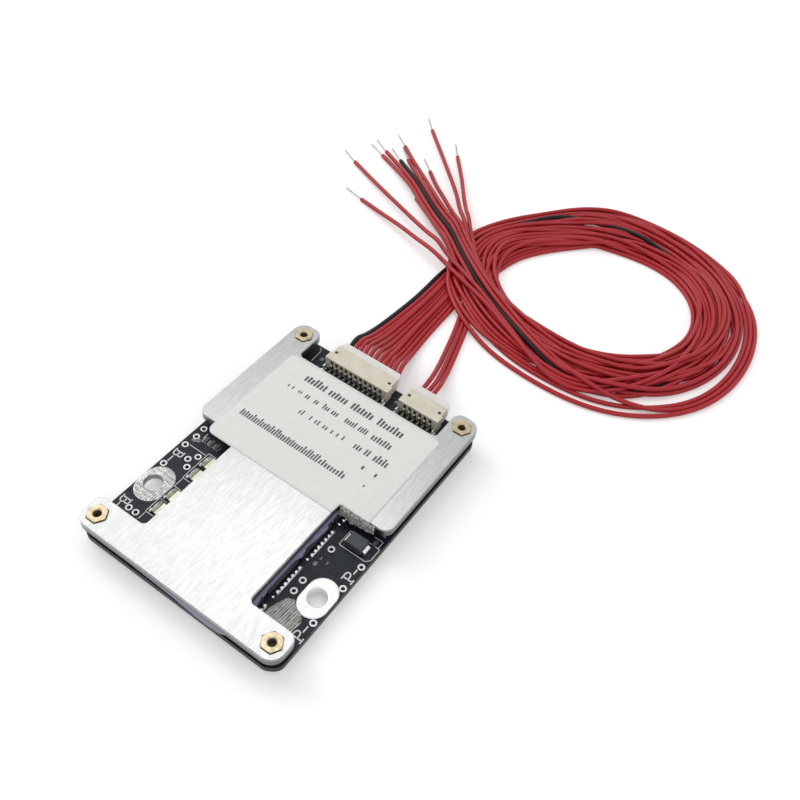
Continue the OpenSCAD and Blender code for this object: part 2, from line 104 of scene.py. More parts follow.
def finished(bm, name):
    mesh = bpy.data.meshes.new(name)
    bm.to_mesh(mesh)
    bm.free()
    piece = bpy.data.objects.new(name, mesh)
    bpy.context.scene.collection.objects.link(piece)
    return piece


bm = bmesh.new()
bmesh.ops.create_grid(bm, x_segments=1, y_segments=1, size=3)
floor = finished(bm, "table_top")
table_white, tree, shader = new_material("table white")
shader.inputs["Base Color"].default_value = (0.86, 0.86, 0.86, 1)
shader.inputs["Roughness"].default_value = 0.9
shader.inputs["Specular IOR Level"].default_value = 0.1
glow = add_node(tree, "ShaderNodeMath", operation="MULTIPLY")
glow.inputs[1].default_value = 0.3
tree.links.new(seen_by_camera(tree), glow.inputs[0])
shader.inputs["Emission Color"].default_value = (1, 1, 1, 1)
tree.links.new(glow.outputs[0], shader.inputs["Emission Strength"])
floor.data.materials.append(table_white)

world = bpy.data.worlds.new("white room")
bpy.context.scene.world = world
world.use_nodes = True
room = world.node_tree
sky = room.nodes["Background"]
sky.inputs["Color"].default_value = (1, 1, 1, 1)
level = ramp(room, seen_by_camera(room), 0, 1, 0.6, 1)
room.links.new(level.outputs[0], sky.inputs["Strength"])


def soft_lamp(name, place, aim, size, power):
    lamp = bpy.data.lights.new(name, "AREA")
    lamp.size, lamp.energy = size, power
    holder = bpy.data.objects.new(name, lamp)
    holder.location = place
    holder.rotation_euler = (Vector(aim) - Vector(place)).to_track_quat("-Z", "Y").to_euler()
    bpy.context.scene.collection.objects.link(holder)


soft_lamp("window lamp", (-0.95, 0.1, 0.8), (0, 0.04, 0), 0.7, 4.5)
soft_lamp("fill lamp", (0.7, -0.5, 0.7), (0, 0.04, 0), 0.8, 1)
soft_lamp("gleam lamp", (-0.276, 0.29, 0.78), (0.016, -0.026, 0), 0.28, 0.68)

# ---- sense wires -----------------------------------------------------------
# Fourteen silicone wires, one black and the rest red, crimped in the two plugs.
# They drop from the plugs to the table, run under the coil's near turn, make
# a little over one and a half turns and come out over it with stripped ends.
wires = 14
wire_r = 0.65
wire_d = 2 * wire_r * mm
pitch = 1.5
large_n, small_n, small_wires = 11, 6, 3
large_x, small_x = -6.2, 12.5
plug_back, contact_z = 40.34, 4.95
# Each plug's ribbon: how far out, its middle, the wires' spacing and height
large_lead = [(plug_back, large_x, pitch, contact_z), (41.5, large_x, pitch, contact_z),
              (44, -7, 1.5, 4.8), (47, -8, 1.45, 4.1), (51, -8.5, 1.35, 2.9), (56, -8.7, 1.15, 1.6),
              (61, -8.7, 1, 0.85), (66, -8.5, 0.9, 0.65), (71, -8.2, 0.85, 0.65),
              (77, -8, 0.85, 0.65)]
small_lead = [(plug_back, 10.25, pitch, contact_z), (41.5, 10.25, pitch, contact_z), (44, 9.9, 1.5, 4.8),
              (47, 9, 1.45, 4.1), (51, 7.8, 1.4, 2.9), (56, 6.4, 1.37, 1.6),
              (61, 5, 1.37, 0.85), (66, 3.8, 1.37, 0.65), (72, 2.6, 1.37, 0.65)]
# The loose ends, from the crossing to the end of the insulation
tails = [
    [(-15.5, 86.3, 4.3), (-23.4, 88.9, 3.6), (-33.7, 92.1, 2.5), (-43, 94.6, 1.4), (-51.7, 96.8, 0.65)],
    [(-17, 90.2, 4.2), (-28.1, 95, 3.4), (-41, 100.5, 2.3), (-53, 105.8, 1.3), (-64.8, 111, 0.65)],
    [(-17.5, 92.9, 4.1), (-30, 101.5, 3.1), (-43, 110.9, 2.1), (-52, 116, 1.2), (-60.3, 119.9, 0.65)],
    [(-17.5, 94.6, 4.1), (-30, 103.2, 3.1), (-43, 112.6, 2.1), (-52, 118, 1.2), (-60.6, 122.5, 0.65)],
    [(-17.5, 96.3, 4.1), (-30, 104.9, 3.1), (-43, 114.3, 1.9), (-49, 118.3, 1.2), (-54.2, 121.5, 0.65)],
    [(-17.5, 98, 4.1), (-30, 106.6, 3.1), (-43, 116, 1.9), (-48, 119.8, 1.2), (-52.6, 123.6, 0.65)],
    [(-17.5, 99.7, 4.1), (-30, 108.4, 3.1), (-43, 117.9, 2), (-51, 123.8, 1.2), (-57.6, 129, 0.65)],
    [(-17.6, 93.75, 2.7), (-24, 98.2, 2.2), (-30, 102.4, 1.6), (-35, 105.8, 1), (-39, 108.4, 0.65)],
    [(-17.6, 95.45, 2.7), (-24, 99.9, 2.2), (-30, 104.1, 1.6), (-34.5, 107.2, 1), (-38.5, 109.8, 0.65)],
    [(-17.6, 97.15, 2.7), (-24, 101.6, 2.2), (-30, 105.8, 1.6), (-34, 108.6, 1), (-38, 111.4, 0.65)],
    [(-17.7, 98.85, 2.7), (-24, 103.3, 2.2), (-30, 107.6, 1.6), (-34, 110.6, 1), (-38, 113.6, 0.65)],
    [(-17.7, 101.5, 4), (-25, 107.3, 3.1), (-32.5, 113.3, 2.1), (-38, 117.8, 1.3), (-43.6, 123, 0.65)],
    [(-17.8, 103.3, 3.9), (-24, 109.8, 3.3), (-30.4, 117.2, 2.8), (-41.1, 128, 2), (-56.1, 143, 0.65)],
    [(-17.8, 105.3, 3.7), (-23, 111.7, 3), (-28, 118.3, 2.3), (-33, 125.3, 1.5), (-41.4, 136, 0.65)]]
coil_centre = np.array((26.0, 105.0))
# Radii of the coil's inner and outer edge, every 30 degrees from +X
coil_inner = [30.2, 30.5, 29, 24, 22.5, 24, 31, 29, 25.5, 23.8, 23.6, 26]
coil_outer = [44.8, 45.6, 44.3, 43.8, 43.5, 38.5, 44.4, 45.5, 42, 40, 43.5, 45.4]
weave = np.random.default_rng(14)


# From b to c along a smooth curve whose neighbours are a and d
def between_four(a, b, c, d, t):
    return b + (c - a) / 2 * t + (a - 2.5 * b + 2 * c - d / 2) * t ** 2 \
        + (-a / 2 + 1.5 * b - 1.5 * c + d / 2) * t ** 3


def round_table(values, angle):
    low = np.floor(angle / 30).astype(int)
    return between_four(*(np.array(values)[(low + k) % 12] for k in (-1, 0, 1, 2)), angle / 30 - low)


# A curve through the points, cut into equal steps
def smooth_line(points, spacing):
    points = np.array(points, float)
    ends = np.vstack((2 * points[0] - points[1], points, 2 * points[-1] - points[-2]))
    made = []
    for a, b, c, d in zip(ends, ends[1:], ends[2:], ends[3:]):
        for t in np.linspace(0, 1, 20)[:-1]:
            made.append(between_four(a, b, c, d, t))
    made = np.array(made + [points[-1]])
    run = np.concatenate(((0,), np.cumsum(np.linalg.norm(np.diff(made, axis=0), axis=1))))
    wanted = np.linspace(0, run[-1], 1 + int(run[-1] / spacing))
    return np.stack([np.interp(wanted, run, made[:, k]) for k in range(3)], 1)


def lead_points(wire):
    row, count, j = (large_lead, large_n, wire) if wire < large_n \
        else (small_lead, small_wires, wire - large_n)
    stray = 0.5 * math.sin(5.3 * wire + 1)
    apart = 1.35  # wires closer than this lie in two layers
    return [(middle + (j - (count - 1) / 2) * spacing
             + stray * math.sin(min(1, max(0, (y - 41.5) / 20)) * math.pi), y,
             z + (j % 2) * math.sqrt(max(0, apart ** 2 - spacing ** 2)))
            for y, middle, spacing, z in row]


# The wires' order across the bundle, with some of them changing places
def shuffled(lane, amount):
    return np.argsort(np.argsort(lane + weave.normal(0, amount, len(lane)))) / (wires - 1)


# Which loose end each wire comes out as; the black one is the first in its plug
tail_of = [4, 0, 1, 2, 3, 5, 6, 7, 8, 9, 10, 11, 12, 13]
joining = 1 - np.arange(wires) / (wires - 1)
leaving = 1 - np.array(tail_of) / (wires - 1)
# Each wire's lane at these angles, from 0 at the coil's inner edge to 1
lane_angles = np.array([135, 60, 0, -50, -120, -180, -225, -300, -360, -410, -444])
lanes = [joining]
for amount in (0.22, 0.15, 0.15, 0.25, 0.2, 0.1, 0.25, 0.15, 0.15):
    lanes.append(shuffled(lanes[-1], amount))
lanes = np.stack(lanes + [leaving])
lanes[9] = 0.4 * lanes[9] + 0.6 * leaving
# The bundle is drawn in at three angles, and a few wires stay further out
for turns_at, drawn_in in (((1, 7), 0.92), ((2, 8), 0.76), ((3, 9), 0.84)):
    lanes[list(turns_at)] *= drawn_in
lanes[1:4, 5], lanes[1:4, 10] = (0.97, 1.04, 1.02), (0.9, 0.95, 0.9)
lanes[7:10, 7] = 1.0, 0.99, 0.97
# The black wire keeps to lanes of its own
lanes[:, 0] = (0.6, 0.08, 0.3, 0.4, 0.55, 0.7, 0.75, 0.15, 0.35, 0.6, leaving[0])
line_step = 2.2
wire_lines, wire_fixed = [], []
for wire in range(wires):
    side = wire / (wires - 1)
    layer = (wire % 2) * 1.2
    lead = lead_points(wire)
    under = [(-13 + 9.2 * side, 86, wire_r + layer), (-12 + 8.6 * side, 95, wire_r + layer),
             (-9.5 + 7.5 * side, 107, 0.8 + layer)]
    angles = np.arange(135, -445, -7.0)
    lane = np.interp(-angles, -lane_angles, lanes[:, wire])
    for _ in range(8):
        lane[1:-1] = (lane[:-2] + 2 * lane[1:-1] + lane[2:]) / 4
    radius = round_table(coil_inner, angles) * (1 - lane) + round_table(coil_outer, angles) * lane
    height = layer + np.interp(-angles, (-135, -60, 120, 170, 250, 400, 444),
                               (0.9, 1.1, 1.4, 3, 2.8, 4.4, 5.6))
    if wire == 0:
        height = np.where((abs(angles) < 50) | (abs(angles + 360) < 50), wire_r, height)
    loop = [(coil_centre[0] + r * math.cos(math.radians(a)),
             coil_centre[1] + r * math.sin(math.radians(a)), z)
            for a, r, z in zip(angles, radius, height)]
    tail = [np.array(q, float) for q in tails[tail_of[wire]]]
    way = (tail[0] - tail[1])
    way[2] = 0
    way /= np.linalg.norm(way)
    over = [tail[0] + 26 * way + (0, 0, 2.2), tail[0] + 12 * way + (0, 0, 2.2)]
    tail[0] = tail[0] + (0, 0, 1)
    line = smooth_line([q for q in lead if q[1] < 78] + under + loop + over + tail, line_step)
    line[:, 2] = np.maximum(line[:, 2], wire_r)
    wire_lines.append(line)
    at = np.arange(len(line))
    wire_fixed.append((line[:, 1] < 46) & (at < 25) | (line[:, 0] < -19.5) & (at > len(line) - 40))

# The wires are pushed off one another, kept smooth, drawn back to their lanes
# and let sink to the table, a little at each step
clearance, steps, highest = 1.32, 220, 7.4
points = np.concatenate(wire_lines)
drawn = points.copy()
held = np.concatenate(wire_fixed)
owner = np.concatenate([np.full(len(line), k) for k, line in enumerate(wire_lines)])
number = np.arange(len(points))
joined = owner[:-1] == owner[1:]
inner = np.zeros(len(points), bool)
inner[1:-1] = joined[:-1] & joined[1:]
inner &= ~held
for step in range(steps):
    if step % 20 == 0:
        middle = (points[:-1] + points[1:]) / 2
        close = ((points[:, None, 0] - middle[None, :, 0]) ** 2
                 + (points[:, None, 1] - middle[None, :, 1]) ** 2) < 3.4 ** 2
        own = (owner[:, None] == owner[None, :-1]) & (abs(number[:, None] - number[None, :-1]) < 6)
        close &= joined[None, :] & ~own
        one, other = np.nonzero(close)
    start, along = points[other], points[other + 1] - points[other]
    t = np.clip(((points[one] - start) * along).sum(1) / (along ** 2).sum(1), 0, 1)
    gap = points[one] - start - along * t[:, None]
    distance = np.linalg.norm(gap, axis=1) + 1e-6
    touching = distance < clearance
    i, j, t = one[touching], other[touching], t[touching, None]
    push = gap[touching] * ((clearance - distance[touching]) / distance[touching])[:, None] * 0.5
    move = np.zeros_like(points)
    count = np.bincount(i, minlength=len(points)) + np.bincount(j, minlength=len(points)) \
        + np.bincount(j + 1, minlength=len(points))
    for k in range(3):
        move[:, k] = np.bincount(i, push[:, k], len(points)) \
            - np.bincount(j, push[:, k] * (1 - t[:, 0]), len(points)) \
            - np.bincount(j + 1, push[:, k] * t[:, 0], len(points))
    move /= np.maximum(1, count / 2)[:, None]
    points[~held] += move[~held]
    points[inner] += 0.25 * ((points[:-2] + points[2:])[inner[1:-1]] / 2 - points[inner])
    points[~held, :2] += 0.02 * (drawn - points)[~held, :2]
    points[~held, 2] -= 0.03
    points[:, 2] = np.maximum(points[:, 2], wire_r)
for step in range(10):
    points[inner] += 0.4 * ((points[:-2] + points[2:])[inner[1:-1]] / 2 - points[inner])
points[:, 2] = np.clip(points[:, 2], wire_r, highest)


def new_group(name, inputs, outputs):
    group = bpy.data.node_groups.new(name, "ShaderNodeTree")
    for label, value in inputs:
        socket = group.interface.new_socket(label, in_out="INPUT", socket_type="NodeSocketFloat")
        socket.default_value = value
    for label in outputs:
        group.interface.new_socket(label, in_out="OUTPUT", socket_type="NodeSocketFloat")
    return group, group.nodes.new("NodeGroupInput"), group.nodes.new("NodeGroupOutput")


# A noise's middle part, spread from the group's Low to its High
def low_to_high(group, noise, given, result):
    between = ramp(group, noise.outputs[0], 0.3, 0.7)
    group.links.new(given.outputs["Low"], between.inputs["To Min"])
    group.links.new(given.outputs["High"], between.inputs["To Max"])
    group.links.new(between.outputs[0], result.inputs["Value"])


def object_place(tree):
    return add_node(tree, "ShaderNodeTexCoord").outputs["Object"]


# Mottle: soft blotches between two values, with the raw height beside them
mottle, given, result = new_group("mottle", (("Scale", 500), ("Low", 0), ("High", 1)), ("Value", "Height"))
cloud = add_node(mottle, "ShaderNodeTexNoise")
cloud.inputs["Detail"].default_value = 5
mottle.links.new(object_place(mottle), cloud.inputs["Vector"])
mottle.links.new(given.outputs["Scale"], cloud.inputs["Scale"])
low_to_high(mottle, cloud, given, result)
mottle.links.new(cloud.outputs[0], result.inputs["Height"])


def place_group(tree, group, **values):
    made = add_node(tree, "ShaderNodeGroup", node_tree=group)
    for key, value in values.items():
        made.inputs[key].default_value = value
    return made


# Either colour may also be what another node gives
def two_colours(tree, shader, factor, low, high):
    mix = add_node(tree, "ShaderNodeMix", data_type="RGBA")
    for key, colour in (("A", low), ("B", high)):
        if isinstance(colour, tuple):
            mix.inputs[key].default_value = (*colour, 1)
        else:
            tree.links.new(colour, mix.inputs[key])
    tree.links.new(factor, mix.inputs["Factor"])
    tree.links.new(mix.outputs["Result"], shader.inputs["Base Color"])
    return mix.outputs["Result"]


def glossed(tree, shader, scale, low, high):
    gloss = place_group(tree, mottle, Scale=scale, Low=low, High=high)
    tree.links.new(gloss.outputs["Value"], shader.inputs["Roughness"])
    return gloss


def bumped(tree, shader, height, strength, distance):
    bump = add_node(tree, "ShaderNodeBump")
    bump.inputs["Strength"].default_value = strength
    bump.inputs["Distance"].default_value = distance
    tree.links.new(height, bump.inputs["Height"])
    tree.links.new(bump.outputs["Normal"], shader.inputs["Normal"])


# A finish: two colours and two roughnesses, blotched, with a slight relief
def mottled(name, low, high, rough, scale, bump=0.1, depth=0.00003, metal=0.0, gleam=0.5, finer=2.3):
    material, tree, shader = new_material(name)
    shader.inputs["Metallic"].default_value = metal
    shader.inputs["Specular IOR Level"].default_value = gleam
    colour = place_group(tree, mottle, Scale=scale, Low=0, High=1)
    two_colours(tree, shader, colour.outputs["Value"], low, high)
    gloss = glossed(tree, shader, scale * finer, *rough)
    bumped(tree, shader, gloss.outputs["Height"], bump, depth)
    return material


# A finished piece: its material, body and the nodes that it stands for; the slot is not used
def placed(piece, material, slot, *stands_for, smooth=False):
    if smooth:
        for face in piece.data.polygons:
            face.use_smooth = True
    piece.data.materials.append(material)
    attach(piece, "root")
    if stands_for:
        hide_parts(*stands_for)
    return piece


def new_curve(name, radius, sides):
    curve = bpy.data.curves.new(name, "CURVE")
    curve.dimensions = "3D"
    curve.bevel_depth = radius
    curve.bevel_resolution = sides
    curve.use_fill_caps = True
    piece = bpy.data.objects.new(name, curve)
    bpy.context.scene.collection.objects.link(piece)
    return piece


insulation_red = mottled("red silicone", (0.39, 0.0128, 0.0197), (0.43, 0.0152, 0.0233), (0.345, 0.405),
                         2100, 0, gleam=0.4)
insulation_black = mottled("black silicone", (0.0101, 0.0101, 0.0114), (0.0129, 0.0129, 0.0146),
                           (0.345, 0.405), 2100, 0, gleam=0.18)
strand_tin = mottled("tinned strands", (0.294, 0.281, 0.268), (0.526, 0.509, 0.492), (0.35, 0.35), 20000, 0,
                     metal=1)

# The conductor's tinned strands, twisted, bare for the last few millimetres
strands, strand_r, twist_by, strip_l = 4, 0.09, 9, 7
for wire in range(wires):
    before, end = (np.array(q) for q in tails[tail_of[wire]][-2:])
    way = (end - before) * (1, 1, 0)
    way /= np.linalg.norm(way)
    across = np.array((-way[1], way[0], 0))
    upward = np.array((0, 0, 1))
    bare = new_curve(f"bare_end_{wire + 1}", strand_r * mm, 1)
    for strand in range(strands):
        spline = bare.data.splines.new("POLY")
        spline.points.add(19)
        for knot, s in zip(spline.points, np.linspace(0, 1, 20)):
            twist = twist_by * s + strand * math.tau / strands
            spread = 0.12 + 0.1 * max(0, s - 0.6)
            bend = 0.35 * s * s * math.sin(2.4 * wire)
            at = end + way * (strip_l * s - 0.3 * (1 - s)) + across * bend \
                + spread * (math.cos(twist) * across + math.sin(twist) * upward)
            knot.co = (*(at * mm), 1)
    placed(bare, strand_tin, "tin", "stripped_ends")

for wire in range(wires):
    line = points[owner == wire]
    line = np.vstack((line[:-1:2], line[-1:])) * mm
    cord = new_curve(f"wire_{wire + 1}", wire_d / 2, 3)
    cord.data.resolution_u = 3
    spline = cord.data.splines.new("BEZIER")
    spline.bezier_points.add(len(line) - 1)
    spline.bezier_points.foreach_set("co", line.ravel())
    for knot in spline.bezier_points:
        knot.handle_left_type = knot.handle_right_type = "AUTO"
    jacket, slot = (insulation_black, "wire_black") if wire == 0 else (insulation_red, "wire_red")
    placed(cord, jacket, slot, f"lead_{wire + 1}", f"tail_{tail_of[wire] + 1}", "wire_coil")

# ---- circuit board ---------------------------------------------------------
# A glass-fibre board, 1.6 mm thick, under a dark solder mask. The copper below
# the mask shows as faint raised areas, and the drilled holes go right through.


# A node shown as it is
def dress(node, material):
    nodes[node].data.materials.clear()
    nodes[node].data.materials.append(material)


def solid_of(node):
    bm = bmesh.new()
    bm.from_mesh(nodes[node].data)
    bmesh.ops.remove_doubles(bm, verts=bm.verts, dist=1e-6)
    return bm


# A moulded or cut part with its edges eased: the node's own solid, bevelled
def softened(node, name, material, width, slot, segments=2, keep=None):
    bm = solid_of(node)
    bmesh.ops.dissolve_limit(bm, angle_limit=math.radians(2), verts=bm.verts, edges=bm.edges,
                             use_dissolve_boundaries=False, delimit=set())
    sharp = [e for e in bm.edges if len(e.link_faces) == 2 and e.calc_face_angle() > math.radians(40)
             and (keep is None or keep(e))]
    bmesh.ops.bevel(bm, geom=sharp, offset=width * mm, offset_type="OFFSET", segments=segments, profile=0.5,
                    affect="EDGES", clamp_overlap=True, material=-1)
    bmesh.ops.triangulate(bm, faces=[f for f in bm.faces if len(f.verts) > 4])
    placed(finished(bm, name), material, slot, node)


def height_in(tree):
    parts = add_node(tree, "ShaderNodeSeparateXYZ")
    tree.links.new(object_place(tree), parts.inputs[0])
    return parts.outputs["Z"]


# How far it is to the next border between cells
def cell_borders(tree, scale):
    cells = add_node(tree, "ShaderNodeTexVoronoi", feature="DISTANCE_TO_EDGE")
    cells.inputs["Scale"].default_value = scale
    tree.links.new(object_place(tree), cells.inputs["Vector"])
    return cells.outputs["Distance"]


mask_dark, tree, shader = new_material("solder mask")
shader.inputs["Specular IOR Level"].default_value = 0.2
step = ramp(tree, cell_borders(tree, 260), 0.03, 0.06)
mask = two_colours(tree, shader, step.outputs[0], (0.009, 0.011, 0.018), (0.013, 0.017, 0.026))
glossed(tree, shader, 900, 0.35, 0.5)
bumped(tree, shader, step.outputs[0], 0.15, 0.00003)
side_wall = add_node(tree, "ShaderNodeMath", operation="LESS_THAN")
side_wall.inputs[1].default_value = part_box("circuit_board")[1].z - 0.00004
tree.links.new(height_in(tree), side_wall.inputs[0])
two_colours(tree, shader, side_wall.outputs[0], mask, (0.022, 0.026, 0.024))

# Test holes as drilled, and where each one really sits on this board
drilled = [(-25.4, -1.1), (-25.4, -4), (-25.6, -7.2), (-21, -8.1), (-22.4, -9.9), (-21, -11.7), (-25.6, -14),
           (-23.1, -27.5), (-21.1, -27.5), (18.2, -8.5), (18.2, -18.1), (18.2, -21.2), (25.6, -8.1),
           (25.6, -14.4), (25.6, -24.6)]
test_holes = [(-25.3, -1.15), (-25.1, -3.9), (-25.5, -7.2), (-20.7, -8.05), (-22.1, -9.9), (-20.7, -11.7),
              (-25.55, -14.15), (-22.85, -27.5), (-20.8, -27.5), (18.5, -8.5), (18.4, -18.15), (18.5, -21.2),
              (26.3, -8.05), (26.3, -14.55), (26.3, -24.5)]
bm = solid_of("circuit_board")
for v in bm.verts:
    for (x, y), (new_x, new_y) in zip(drilled, test_holes):
        if math.hypot(v.co.x / mm - x, v.co.y / mm - y) < 0.62:
            v.co.x += (new_x - x) * mm
            v.co.y += (new_y - y) * mm
            break
    else:
        # The board's right edge stands half a millimetre further out
        v.co.x += 0.5 * mm * min(1, max(0, (v.co.x / mm - 25.6) / 1.2))
placed(finished(bm, "board_laminate"), mask_dark, "board", "circuit_board")

# ---- board print -----------------------------------------------------------
# White ink on the mask: outlines of the parts, polarity marks at the two
# terminals and short guide lines, all a few hundredths of a millimetre thick.
board_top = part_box("circuit_board")[1].z
ink_h = 0.03 * mm
fine_line, bold_line = 0.16, 0.28


# A bar of ink; a fine one runs on a little, so that corners close
def stroke(bm, x0, y0, x1, y1, width=fine_line):
    a, b = Vector((x0, y0, 0)) * mm, Vector((x1, y1, 0)) * mm
    length = (b - a).length + (0.8 * width * mm if width < bold_line else 0)
    at = Matrix.Translation((a + b) / 2 + Vector((0, 0, board_top + ink_h / 2)))
    spin = Matrix.Rotation(math.atan2((b - a).y, (b - a).x), 4, "Z")
    bmesh.ops.create_cube(bm, size=1, matrix=at @ spin @ Matrix.Diagonal((length, width * mm, ink_h, 1)))


# Bars from point to point; bold ones get a round disc at every joint
def path_stroke(bm, points, width=fine_line):
    for (x0, y0), (x1, y1) in zip(points, points[1:]):
        stroke(bm, x0, y0, x1, y1, width)
    for x, y in points if width >= bold_line else ():
        at = Matrix.Translation((x * mm, y * mm, board_top + ink_h * 0.45))
        bmesh.ops.create_cone(bm, cap_ends=True, segments=16, radius1=width / 2 * mm, radius2=width / 2 * mm,
                              depth=ink_h * 0.9, matrix=at)


# A letter as strokes on a grid one high: across, up
glyphs = {
    "P": [[(-0.05, 0), (0.4, 0)], [(0.17, 0), (0.17, 1)], [(-0.05, 1), (0.48, 1), (0.72, 0.93), (0.8, 0.75),
          (0.72, 0.55), (0.48, 0.47), (0.17, 0.47)]],
    "B": [[(0.15, 0), (0.15, 1)], [(0, 1), (0.45, 1), (0.62, 0.92), (0.66, 0.76), (0.6, 0.6),
          (0.45, 0.52), (0.15, 0.52)],
          [(0.45, 0.52), (0.66, 0.44), (0.74, 0.27), (0.66, 0.08), (0.45, 0), (0, 0)]],
}


def letter(bm, glyph, origin, run, rise, size):
    for line in glyphs[glyph]:
        path_stroke(bm, [(origin[0] + size * (u * run[0] + v * rise[0]),
                          origin[1] + size * (u * run[1] + v * rise[1])) for u, v in line], 0.3)


bm = bmesh.new()
for y in (-9.2, -25.65):
    letter(bm, "B", (-26.05, y), (0, -1), (1, 0), 2.35)
for y in (-12.65, -29.5):
    letter(bm, "P", (26.95, y), (0, 1), (-1, 0), 2.4)
for line in ((-25.3, -11.35, -25.3, -13.1), (-25.3, -27.7, -25.3, -29.4), (26, -10.5, 26, -9.1),
             (25.95, -27.4, 25.95, -25.7)):
    stroke(bm, *line, bold_line)
for line in ((-24.5, -6.65, -19.7, -6.65), (-23.5, -3.2, -23.5, -1.8), (-19.2, -17.2, -19.2, -14.7),
             (-19.2, -28.3, -19.2, -26), (16.45, -12.6, 16.45, -4.5), (16.45, -24, 16.45, -15.8),
             (16.45, -29.5, 16.45, -27.6), (-19.6, -37.15, -10.9, -37.15), (-9.1, -37.15, 1.5, -37.15),
             (3.2, -37.15, 12.8, -37.15)):
    stroke(bm, *line)
for low in (-10.15, -14.45, -21.6, -25.95):
    path_stroke(bm, [(-17.2, low), (-19.4, low), (-19.4, low + 4.3), (-17.2, low + 4.3)])
for x in (-22.9, -21.2, -19.5):
    path_stroke(bm, [(x - 0.3, -2.7), (x - 0.3, -4.1), (x + 1.1, -4.1), (x + 1.1, -2.7)], 0.13)
path_stroke(bm, [(20.3, -2.2), (19, -2.2), (19, -6.5), (26.1, -6.5), (26.9, -5.6), (26.9, -2.2),
                 (25.4, -2.2)])
path_stroke(bm, [(24.2, -0.2), (26.4, -0.2), (26.4, -2.1), (24.2, -2.1)], 0.13)
for y in (2.2, 4.2, 7.4):
    path_stroke(bm, [(26.1, y - 1), (24.5, y - 1), (24.5, y + 1), (26.1, y + 1)], 0.13)
path_stroke(bm, [(-20.5, 37.2), (-19.85, 36.4), (-19.7, 35.1), (-19.6, 32.2)])
path_stroke(bm, [(-17.1, 30.6), (4.6, 30.6)], 0.13)
path_stroke(bm, [(6.6, 30.6), (18.4, 30.6)], 0.13)
# Short place marks beside the parts: a few strokes each, too small to read
for x, y, turned in ((-25.2, -5.4, 0), (-24.2, -4.9, 1), (17.6, -13.8, 1), (-18.2, 33.9, 1), (5, 34.2, 0),
                     (24.4, 5.8, 0), (17.9, -26.9, 1), (-21.5, 31, 0)):
    for k, (u, v) in enumerate(((0, 0.6), (0.35, 0.75), (0.7, 0.5))):
        if turned:
            path_stroke(bm, [(x, y + u), (x + v, y + u), (x + v, y + u + 0.22)], 0.1)
        else:
            path_stroke(bm, [(x + u, y), (x + u, y + v), (x + u + 0.22, y + v)], 0.1)
for x, y in ((18, -11.7), (19.75, -11.75), (-19.6, -28.9)):
    arc = [(x + 0.3 * math.cos(t), y + 0.3 * math.sin(t)) for t in (-1.2, -0.6, 0, 0.6, 1.2)]
    path_stroke(bm, arc, 0.13)
ink_white = mottled("white ink", (0.72, 0.73, 0.74), (0.85, 0.85, 0.85), (0.5, 0.65), 1500)
placed(finished(bm, "board_print"), ink_white, "board")

# ---- plated holes and terminal pads ----------------------------------------
# Tinned copper rings round the test holes, and an oval of solder round each
# terminal hole. The battery side's has been pressed with a fine file pattern.
def faced(bm, way):
    bmesh.ops.recalc_face_normals(bm, faces=bm.faces)
    if sum(f.normal.dot(way) for f in bm.faces) < 0:
        bmesh.ops.reverse_faces(bm, faces=bm.faces)


tin_bright = mottled("tin", (0.62, 0.62, 0.61), (0.84, 0.84, 0.83), (0.22, 0.42), 1400, 0.3, 0.00005, 1.0)
bm = bmesh.new()
for x, y in test_holes:
    at = Matrix.Translation((x * mm, y * mm, board_top))
    rim = [bm.verts.new(at @ Vector((r * mm, 0, z * mm))) for r, z in
           ((0.47, -0.25), (0.47, 0.0), (0.52, 0.05), (0.7, 0.055), (0.82, 0.03), (0.84, 0.0))]
    profile = [bm.edges.new(pair) for pair in zip(rim, rim[1:])]
    bmesh.ops.spin(bm, geom=rim + profile, cent=(x * mm, y * mm, 0), axis=(0, 0, 1), angle=math.tau, steps=28,
                   use_merge=True)
bmesh.ops.remove_doubles(bm, verts=bm.verts, dist=1e-7)
faced(bm, Vector((0, 0, 1)))
ring_tin = mottled("ring tin", (0.75, 0.76, 0.76), (0.88, 0.88, 0.88), (0.4, 0.55), 1800, 0.1, 0.00002, 0.2)
placed(finished(bm, "hole_rings"), ring_tin, "tin", "plated_rings", smooth=True)

